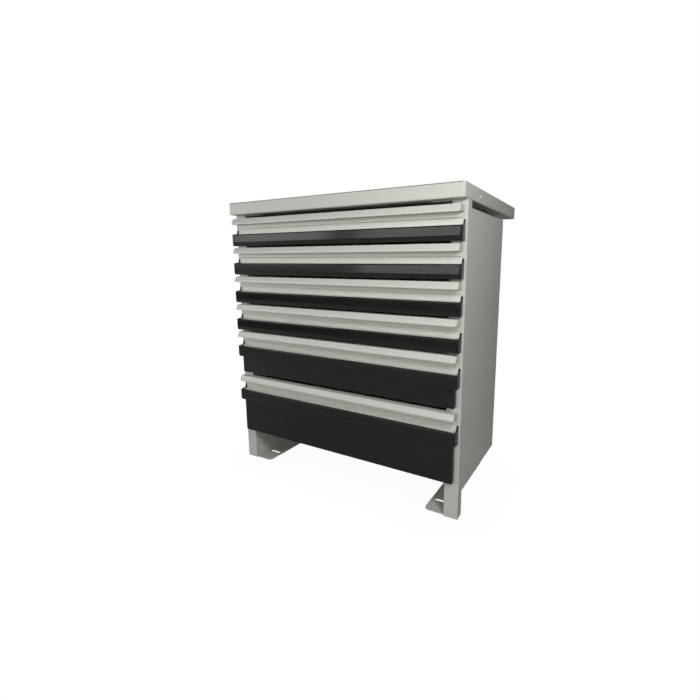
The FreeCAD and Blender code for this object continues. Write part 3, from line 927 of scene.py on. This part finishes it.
@dataclass
class OpenTray:
    """The open tray: a folded pan with a rolled front and rear edge and round linking holes."""

    sheet: float = 1.5 * MM
    fold: float = 3.5 * MM
    rim_round: float = 0.6 * MM
    corner_steps: int = 8
    hole_radius: float = 4.5 * MM
    hole_height: float = 18.0 * MM
    hole_behind_front: float = 122.0 * MM
    hole_spacing: float = 271.0 * MM
    hole_sides: int = 32
    floor_start: float = 2.0 * MM
    rolled_radius: float = 2.4 * MM
    rolled_leg: float = 2.6 * MM
    rolled_flange: float = 5.5 * MM
    corner_relief: float = 6.0 * MM

    def section(self, height: float) -> Section:
        """Give the wall's section.

        Args:
            height: Height of the lips.

        Returns:
            (inset, height) points from the underside over the rim to the inner floor.
        """
        fold, sheet, tip = self.fold, self.sheet, self.rim_round
        points = [(fold + self.floor_start, 0.0)]
        points += arc((fold, fold), fold, 270.0, 180.0, steps=6)
        points += arc((tip, height - tip), tip, 180.0, 90.0, steps=3)
        points += arc((sheet - tip, height - tip), tip, 90.0, 0.0, steps=3)
        points += arc((fold, fold), fold - sheet, 180.0, 270.0, steps=6)
        points += [(fold + self.floor_start, sheet)]
        return points

    def rolled_edge(self, name: str, limits: BoxCorners, front: bool) -> Piece:
        """Build the return flange that is rolled over the front or the rear lip.

        Args:
            name: The piece's name.
            limits: The tray's box.
            front: Whether it is the front lip's edge.

        Returns:
            The piece.
        """
        low, high = limits
        radius, sheet, leg = self.rolled_radius, self.sheet, self.rolled_leg
        outline = [(0.0, -leg)]
        outline += arc((radius, -radius), radius, 180.0, 90.0, steps=8)
        outline += arc((self.rolled_flange, -sheet / 2.0), sheet / 2.0, 90.0, -90.0, steps=4)
        outline += arc((radius, -radius), radius - sheet, 90.0, 180.0, steps=8)
        outline += [(sheet, -leg)]
        start, sign = (low.y, 1.0) if front else (high.y, -1.0)
        work = bmesh.new()
        left, right = (
            [work.verts.new((x, start + sign * y, high.z + z)) for y, z in outline]
            for x in (low.x + self.corner_relief, high.x - self.corner_relief)
        )
        bridge(work, left, right)
        work.faces.new(left)
        work.faces.new(list(reversed(right)))
        return piece_of(name, work)

    def cutters(self, limits: BoxCorners) -> Piece:
        """Build the blocks that cut the linking holes and lower the front and rear lips.

        Args:
            limits: The tray's box.

        Returns:
            The cutting piece.
        """
        low, high = limits
        overshoot = 0.02
        sideways = Matrix.Rotation(math.radians(90.0), 4, "Y")
        work = bmesh.new()
        for step in range(2):
            y = low.y + self.hole_behind_front + step * self.hole_spacing
            bmesh.ops.create_cone(
                work,
                cap_ends=True,
                segments=self.hole_sides,
                radius1=self.hole_radius,
                radius2=self.hole_radius,
                depth=(high.x - low.x) + overshoot,
                matrix=Matrix.Translation((0.0, y, low.z + self.hole_height)) @ sideways,
            )
        wide = high.x - low.x - 2.0 * self.corner_relief
        size = Matrix.Diagonal((wide, 4.0 * self.sheet, 2.0 * self.rolled_leg, 1.0))
        for start in (low.y, high.y):
            place = Matrix.Translation((0.0, start, high.z))
            bmesh.ops.create_cube(work, size=1.0, matrix=place @ size)
        return piece_of("tray_cutters", work, turn_outwards=False)

    def build(self, shop: Workshop) -> None:
        """Build and dress the tray.

        Args:
            shop: The workshop.
        """
        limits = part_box("top_tray")
        low, high = limits
        pan = swept_pan("tray_pan", limits, self.section(high.z - low.z), self.fold, self.corner_steps)
        cutters = self.cutters(limits)
        cut = pan.modifiers.new("cuts", "BOOLEAN")
        cut.operation = "DIFFERENCE"
        cut.solver = "EXACT"
        cut.object = cutters
        settle(pan)
        bpy.data.objects.remove(cutters)
        smooth_shading(pan.data)
        shop.hand_over(pan, Finish.GREY_STEEL, "top_tray")
        for front in (True, False):
            name = "tray_rolled_edge_" + ("front" if front else "rear")
            edge = self.rolled_edge(name, limits, front)
            smooth_shading(edge.data)
            # The rolled edges wear the dark copy of the grey steel: painted shade along the tray's top front
            # and rear edges.
            shop.dress(edge, Finish.PAINTED_SHADE_EDGE)
            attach(edge, shop.body_of["top_tray"])


@dataclass
class GripExtrusion:
    """The long grip of a drawer: an extrusion with a hollow nose, a groove and a cove."""

    outline: tuple[tuple[float, float], ...] = (
        (-0.5, 0.0),
        (-21.3, 0.0),
        (-28.0, -12.4),
        (-27.4, -18.0),
        (-6.5, -18.0),
        (-6.5, -29.3),
        (-1.2, -30.0),
        (-1.2, -33.0),
        (-2.5, -34.3),
        (-2.5, -46.3),
        (-18.5, -48.0),
        (-18.5, -50.0),
        (-0.5, -50.0),
    )
    chamber: tuple[tuple[float, float], ...] = (
        (-2.5, -2.0),
        (-20.3, -2.0),
        (-26.0, -12.4),
        (-25.4, -16.0),
        (-2.5, -16.0),
    )
    end_edge: float = 0.35 * MM
    cap_edge: float = 0.6 * MM

    def drawn_section(self, name: str) -> Piece:
        """Draw the outline and the hollow as closed lines with plain corners.

        Args:
            name: The object's name.

        Returns:
            A curve object in the plane of its section.
        """
        curve = bpy.data.curves.new(name, "CURVE")
        curve.dimensions = "3D"
        for loop in (self.outline, self.chamber):
            spline = curve.splines.new("POLY")
            spline.points.add(len(loop) - 1)
            spline.use_cyclic_u = True
            for point, (across, height) in zip(spline.points, loop):
                point.co = (across * MM, height * MM, 0.0, 1.0)
        return new_piece(name, curve)

    def build(self, shop: Workshop, tree: PieceTree, number: int, front_plane: float) -> None:
        """Build and dress one drawer's grip and its end caps.

        Args:
            shop: The workshop.
            tree: The extrusion tree.
            number: The drawer's number.
            front_plane: The y of the side frames' front plane.
        """
        node = f"drawer_{number}_grip"
        low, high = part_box(node)
        piece = tree.run(
            self.drawn_section(f"grip_{number}"),
            {
                "Half Length": (high.x - low.x) / 2.0,
                "Lift": (0.0, front_plane, high.z),
                "Finish": shop.finishes[Finish.GRIP_COATING],
            },
        )
        soften_edges(piece, self.end_edge)
        shop.hand_over(piece, Finish.GRIP_COATING, node)
        caps_node = f"drawer_{number}_grip_caps"
        caps = refined_copy(shop.nodes[caps_node], f"grip_caps_{number}", self.cap_edge)
        shop.hand_over(caps, Finish.GRIP_CAP, caps_node)


@dataclass
class DrawerBox:
    """The folded steel box of a drawer, with a hemmed rim."""

    sheet: float = 1.0 * MM
    corner: float = 3.0 * MM
    rim_width: float = 3.0 * MM
    rim_height: float = 8.0 * MM
    hem_sheet: float = 0.7 * MM
    floor_start: float = 1.0 * MM
    corner_steps: int = 5

    def section(self, height: float) -> Section:
        """Give the wall's section.

        Args:
            height: Height of the box.

        Returns:
            (inset, height) points from the underside over the hem to the inner floor.
        """
        corner, sheet, rim = self.corner, self.sheet, self.rim_width
        roll, hem, hem_end = rim / 2.0, self.hem_sheet, height - self.rim_height
        points = [(corner + self.floor_start, 0.0)]
        points += arc((corner, corner), corner, 270.0, 180.0, steps=5)
        points += arc((roll, height - roll), roll, 180.0, 0.0, steps=8)
        points += [(rim, hem_end), (rim - hem, hem_end)]
        points += arc((roll, height - roll - sheet), roll - hem, 0.0, 180.0, steps=4)
        points += arc((corner, corner), corner - sheet, 180.0, 270.0, steps=5)
        points += [(corner + self.floor_start, sheet)]
        return points

    def build(self, shop: Workshop, number: int) -> None:
        """Build and dress one drawer's box.

        Args:
            shop: The workshop.
            number: The drawer's number.
        """
        node = f"drawer_{number}_box"
        low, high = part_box(node)
        section = self.section(high.z - low.z)
        box = swept_pan(f"box_{number}", (low, high), section, self.corner, self.corner_steps)
        smooth_shading(box.data)
        shop.hand_over(box, Finish.DRAWER_STEEL, node)


@dataclass
class BlackFront:
    """The moulded black front of a drawer."""

    edge: float = 0.5 * MM

    def build(self, shop: Workshop, number: int) -> None:
        """Build and dress one drawer's front.

        Args:
            shop: The workshop.
            number: The drawer's number.
        """
        node = f"drawer_{number}_front"
        piece = refined_copy(shop.nodes[node], f"moulded_front_{number}", self.edge)
        shop.hand_over(piece, Finish.BLACK_MOULDING, node)


@dataclass
class TelescopicSlides:
    """The three members of a drawer's pair of slides."""

    edge: float = 0.25 * MM
    members: tuple[str, ...] = ("slide_outer", "slide_middle", "slide_inner")

    def build(self, shop: Workshop, number: int) -> None:
        """Build and dress one drawer's slides.

        Args:
            shop: The workshop.
            number: The drawer's number.
        """
        for member in self.members:
            node = f"drawer_{number}_{member}"
            piece = refined_copy(shop.nodes[node], f"{member}_{number}", self.edge)
            shop.hand_over(piece, Finish.ZINC_SLIDES, node)


@dataclass
class Fasteners:
    """The screws, bolts and nuts, one mesh for each CAD node."""

    sides: int = 18
    slender_from: float = 1.2
    head_ring: float = 0.98
    end_ring: float = 0.2 * MM
    nut_edge: float = 0.4 * MM
    nut_bore: float = 0.55
    nut_steps: int = 24

    def islands(self, source: Piece) -> list[np.ndarray]:
        """Split a CAD node into its separate solids.

        Args:
            source: The CAD node's object.

        Returns:
            The vertex positions of each solid.
        """
        work = bmesh.new()
        work.from_mesh(source.data)
        bmesh.ops.remove_doubles(work, verts=work.verts, dist=MERGE_REACH)
        seen = set()
        groups = []
        for start in work.verts:
            if start in seen:
                continue
            seen.add(start)
            stack = [start]
            group = []
            while stack:
                vertex = stack.pop()
                group.append(tuple(vertex.co))
                for edge in vertex.link_edges:
                    other = edge.other_vert(vertex)
                    if other not in seen:
                        seen.add(other)
                        stack.append(other)
            groups.append(np.array(group))
        work.free()
        return groups

    def measure(self, points: np.ndarray) -> dict[str, Place] | None:
        """Find a screw's seat, direction and sizes from its solid.

        Args:
            points: The solid's vertex positions.

        Returns:
            The seat and sizes, or None for a nut.
        """
        spans = points.max(0) - points.min(0)
        axis = int(np.argmax(spans))
        across = [index for index in range(3) if index != axis]
        if spans[axis] < self.slender_from * spans[across[0]]:
            return None
        centre = (points.max(0) + points.min(0)) / 2.0
        radii = np.hypot(*(points[:, index] - centre[index] for index in across))
        head_radius = float(radii.max())
        heights = points[:, axis]
        along = heights[radii > self.head_ring * head_radius]
        upper = abs(heights.max() - along.max()) < abs(along.min() - heights.min())
        sign = 1.0 if upper else -1.0
        seat_along = along.min() if upper else along.max()
        top, tail = (heights.max(), heights.min()) if upper else (heights.min(), heights.max())
        shank_radius = float(radii[np.abs(heights - tail) < self.end_ring].max())
        seat = centre.copy()
        seat[axis] = seat_along
        facing = [0.0, 0.0, 0.0]
        facing[axis] = sign
        return {
            "seat": tuple(seat),
            "facing": tuple(facing),
            "head_size": (head_radius, head_radius, abs(float(top - seat_along))),
            "shank_size": (shank_radius, shank_radius, abs(float(tail - seat_along))),
        }

    def seats(self, name: str, screws: list[dict[str, Place]]) -> Piece:
        """Mark every screw's seat as a point with its direction and sizes.

        Args:
            name: The object's name.
            screws: The measured screws.

        Returns:
            An object with one vertex for each screw.
        """
        mesh = bpy.data.meshes.new(name)
        mesh.from_pydata([screw["seat"] for screw in screws], [], [])
        for label in ("facing", "head_size", "shank_size"):
            layer = mesh.attributes.new(label, "FLOAT_VECTOR", "POINT")
            layer.data.foreach_set("vector", [part for screw in screws for part in screw[label]])
        return new_piece(name, mesh)

    def build(self, shop: Workshop, tree: PieceTree, node: str) -> None:
        """Build and dress the screws of one CAD node.

        Args:
            shop: The workshop.
            tree: The screw tree.
            node: The CAD node.
        """
        measured = [self.measure(points) for points in self.islands(shop.nodes[node])]
        screws = [screw for screw in measured if screw is not None]
        piece = self.seats("set_of_" + node, screws)
        finish = shop.finishes[Finish.ZINC_SCREWS]
        tree.run(piece, {"Sides": self.sides, "Finish": finish})
        smooth_shading(piece.data, 35.0)
        shop.hand_over(piece, Finish.ZINC_SCREWS, node)
        if len(screws) < len(measured):
            self.nuts(shop, node)

    def nuts(self, shop: Workshop, node: str) -> None:
        """Build and dress the hexagon nuts that lie in a node beside its bolts.

        Args:
            shop: The workshop.
            node: The CAD node.
        """
        half_side = math.radians(30.0)
        angles = [math.radians(360.0 / self.nut_steps * step) for step in range(self.nut_steps)]
        flats = [
            math.cos(half_side) / math.cos((turn + half_side) % (2.0 * half_side) - half_side)
            for turn in angles
        ]
        work = bmesh.new()
        for points in self.islands(shop.nodes[node]):
            if self.measure(points) is not None:
                continue
            low, high = points.min(0), points.max(0)
            centre = (low + high) / 2.0
            radius = float((high[0] - low[0]) / 2.0)
            bore = [self.nut_bore * radius] * self.nut_steps
            flanks = [radius * flat for flat in flats]
            inner_low, inner_high, outer_low, outer_high = (
                [
                    work.verts.new((centre[0] + reach * math.cos(turn), centre[1] + reach * math.sin(turn), z))
                    for turn, reach in zip(angles, reaches)
                ]
                for reaches in (bore, flanks)
                for z in (low[2], high[2])
            )
            bridge(work, inner_low, inner_high)
            bridge(work, inner_high, outer_high)
            bridge(work, outer_high, outer_low)
            bridge(work, outer_low, inner_low)
        piece = soften_edges(piece_of("tray_nuts", work), self.nut_edge)
        shop.dress(piece, Finish.ZINC_SCREWS)
        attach(piece, shop.body_of[node])


# ---- studio ---------------------------------------------------------------------------------------------
@dataclass(frozen=True)
class Softbox:
    """One soft light of the studio."""

    name: str
    place: Place
    aim: Place
    width: float
    height: float
    watts: float

    def build(self) -> None:
        """Put the light into the scene."""
        lamp = bpy.data.lights.new(self.name, "AREA")
        lamp.shape = "RECTANGLE"
        lamp.size = self.width
        lamp.size_y = self.height
        lamp.energy = self.watts
        holder = bpy.data.objects.new(self.name, lamp)
        holder.location = self.place
        holder.rotation_euler = (Vector(self.aim) - Vector(self.place)).to_track_quat("-Z", "Y").to_euler()
        bpy.context.scene.collection.objects.link(holder)


@dataclass
class Studio:
    """The pale floor, the white surroundings, the lights and the camera."""

    camera_place: Place = (0.6935, -1.1878, 0.6687)
    azimuth: float = 0.5058
    elevation: float = -0.1656
    roll: float = 0.0036
    lens: float = 20.96
    sensor: float = 36.0
    shift: tuple[float, float] = (-0.0507, -0.0257)
    floor_half: float = 14.0
    surround_light: float = 0.25
    surround_top: float = 0.35
    floor_bounce: float = 0.45
    contact_reach: float = 0.16
    contact_depth: float = 0.05
    contact_samples: int = 16
    softboxes: tuple[Softbox, ...] = (
        Softbox("left_panel", (-2.22, -0.8, 0.6), (0.0, -0.2, 0.5), 0.8, 0.8, 14.0),
        Softbox("near_key", (1.0, -1.0, 1.18), (0.0, -0.2, 0.6), 0.35, 0.35, 11.5),
        Softbox("front_panel", (0.25, -2.5, 1.05), (0.0, -0.2, 0.6), 0.9, 1.0, 7.0),
        Softbox("front_right_panel", (0.94, -2.3, 0.7), (0.0, -0.2, 0.6), 0.8, 0.8, 3.5),
        Softbox("front_left_panel", (-0.765, -2.45, 0.96), (-0.765, -0.2, 0.96), 1.13, 0.87, 5.5),
        Softbox("left_front_panel", (-1.7, -1.9, 1.1), (0.0, -0.2, 0.6), 0.8, 0.8, 4.0),
        Softbox("rear_panel", (-0.3, 2.6, 1.5), (0.0, 0.2, 0.5), 1.2, 1.2, 24.0),
    )

    def build(self) -> None:
        """Build the whole studio."""
        self.build_camera()
        self.build_surroundings()
        self.build_floor()
        for softbox in self.softboxes:
            softbox.build()
        bpy.context.scene.view_settings.view_transform = "Standard"

    def build_camera(self) -> None:
        """Place the camera."""
        camera = bpy.data.cameras.new("camera")
        camera.sensor_width = self.sensor
        camera.lens = self.lens
        camera.shift_x, camera.shift_y = self.shift
        level = math.cos(self.elevation)
        across, along = -math.sin(self.azimuth) * level, math.cos(self.azimuth) * level
        ahead = Vector((across, along, math.sin(self.elevation)))
        holder = bpy.data.objects.new("camera", camera)
        tilt = Euler((0.0, 0.0, self.roll)).to_matrix()
        holder.rotation_euler = (ahead.to_track_quat("-Z", "Y").to_matrix() @ tilt).to_euler()
        holder.location = self.camera_place
        bpy.context.scene.collection.objects.link(holder)
        bpy.context.scene.camera = holder

    def build_surroundings(self) -> None:
        """Make the surroundings white to look at, and let them give a dim light from below a height."""
        world = bpy.data.worlds.new("studio")
        bpy.context.scene.world = world
        world.use_nodes = True
        board = NodeBoard(world.node_tree)
        seen = world.node_tree.nodes["Background"]
        lit = board.add("ShaderNodeBackground")
        for background in (seen, lit):
            background.inputs["Color"].default_value = (1.0, 1.0, 1.0, 1.0)
        seen.inputs["Strength"].default_value = 1.0
        direction = board.add("ShaderNodeTexCoord")
        split = board.add("ShaderNodeSeparateXYZ")
        board.link(direction.outputs["Generated"], split.inputs[0])
        low = board.math("LESS_THAN", split.outputs[2], self.surround_top)
        board.link(board.math("MULTIPLY", low, self.surround_light), lit.inputs["Strength"])
        surface = world.node_tree.nodes["World Output"].inputs["Surface"]
        board.seen_and_lit(seen.outputs[0], lit.outputs[0], surface)

    def build_floor(self) -> None:
        """Lay the pale floor, with a faint shadow where something stands on it."""
        half = self.floor_half
        mesh = bpy.data.meshes.new("floor")
        corners = [(-half, -half, 0), (half, -half, 0), (half, half, 0), (-half, half, 0)]
        mesh.from_pydata(corners, [], [(0, 1, 2, 3)])
        floor = new_piece("floor", mesh)
        material = bpy.data.materials.new("pale_floor")
        material.use_nodes = True
        board = NodeBoard(material.node_tree)
        material.node_tree.nodes.remove(material.node_tree.nodes["Principled BSDF"])
        contact = board.add("ShaderNodeAmbientOcclusion")
        contact.inputs["Distance"].default_value = self.contact_reach
        contact.samples = self.contact_samples
        seen = board.add("ShaderNodeEmission")
        depth = board.math("MULTIPLY", board.math("SUBTRACT", 1.0, contact.outputs["AO"]), self.contact_depth)
        board.link(board.math("SUBTRACT", 1.0, depth), seen.inputs["Strength"])
        bounce = board.add("ShaderNodeBsdfDiffuse")
        bounce.inputs["Color"].default_value = (self.floor_bounce, self.floor_bounce, self.floor_bounce, 1.0)
        surface = material.node_tree.nodes["Material Output"].inputs["Surface"]
        board.seen_and_lit(seen.outputs[0], bounce.outputs[0], surface)
        mesh.materials.append(material)
        floor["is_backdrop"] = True


def as_lists(bounds: object) -> object:
    """Turn corners into plain lists of numbers.

    Args:
        bounds: A number, or corners of any depth.

    Returns:
        The same as a float or nested lists.
    """
    if isinstance(bounds, (int, float)):
        return float(bounds)
    return [as_lists(part) for part in bounds]


def main() -> None:
    """Build the cabinet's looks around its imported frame."""
    logging.basicConfig(level=logging.INFO, format="%(name)s %(message)s")
    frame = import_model()
    cad_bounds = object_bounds()
    shop = Workshop(frame)
    Studio().build()
    FoldedFrame().build(shop)
    OpenTray().build(shop)
    extrusion = extrusion_tree()
    screws = screw_tree()
    fasteners = Fasteners()
    for node in ("frame_screws", "slide_screws", "tray_bolts_and_nuts"):
        fasteners.build(shop, screws, node)
    front_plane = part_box("side_panel_right")[0].y
    for number in range(1, DRAWER_COUNT + 1):
        DrawerBox().build(shop, number)
        BlackFront().build(shop, number)
        GripExtrusion().build(shop, extrusion, number, front_plane)
        TelescopicSlides().build(shop, number)
        fasteners.build(shop, screws, f"drawer_{number}_screws")
    {"cad": as_lists(cad_bounds), "visual": as_lists(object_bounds())}


if __name__ == "__main__":
    main()
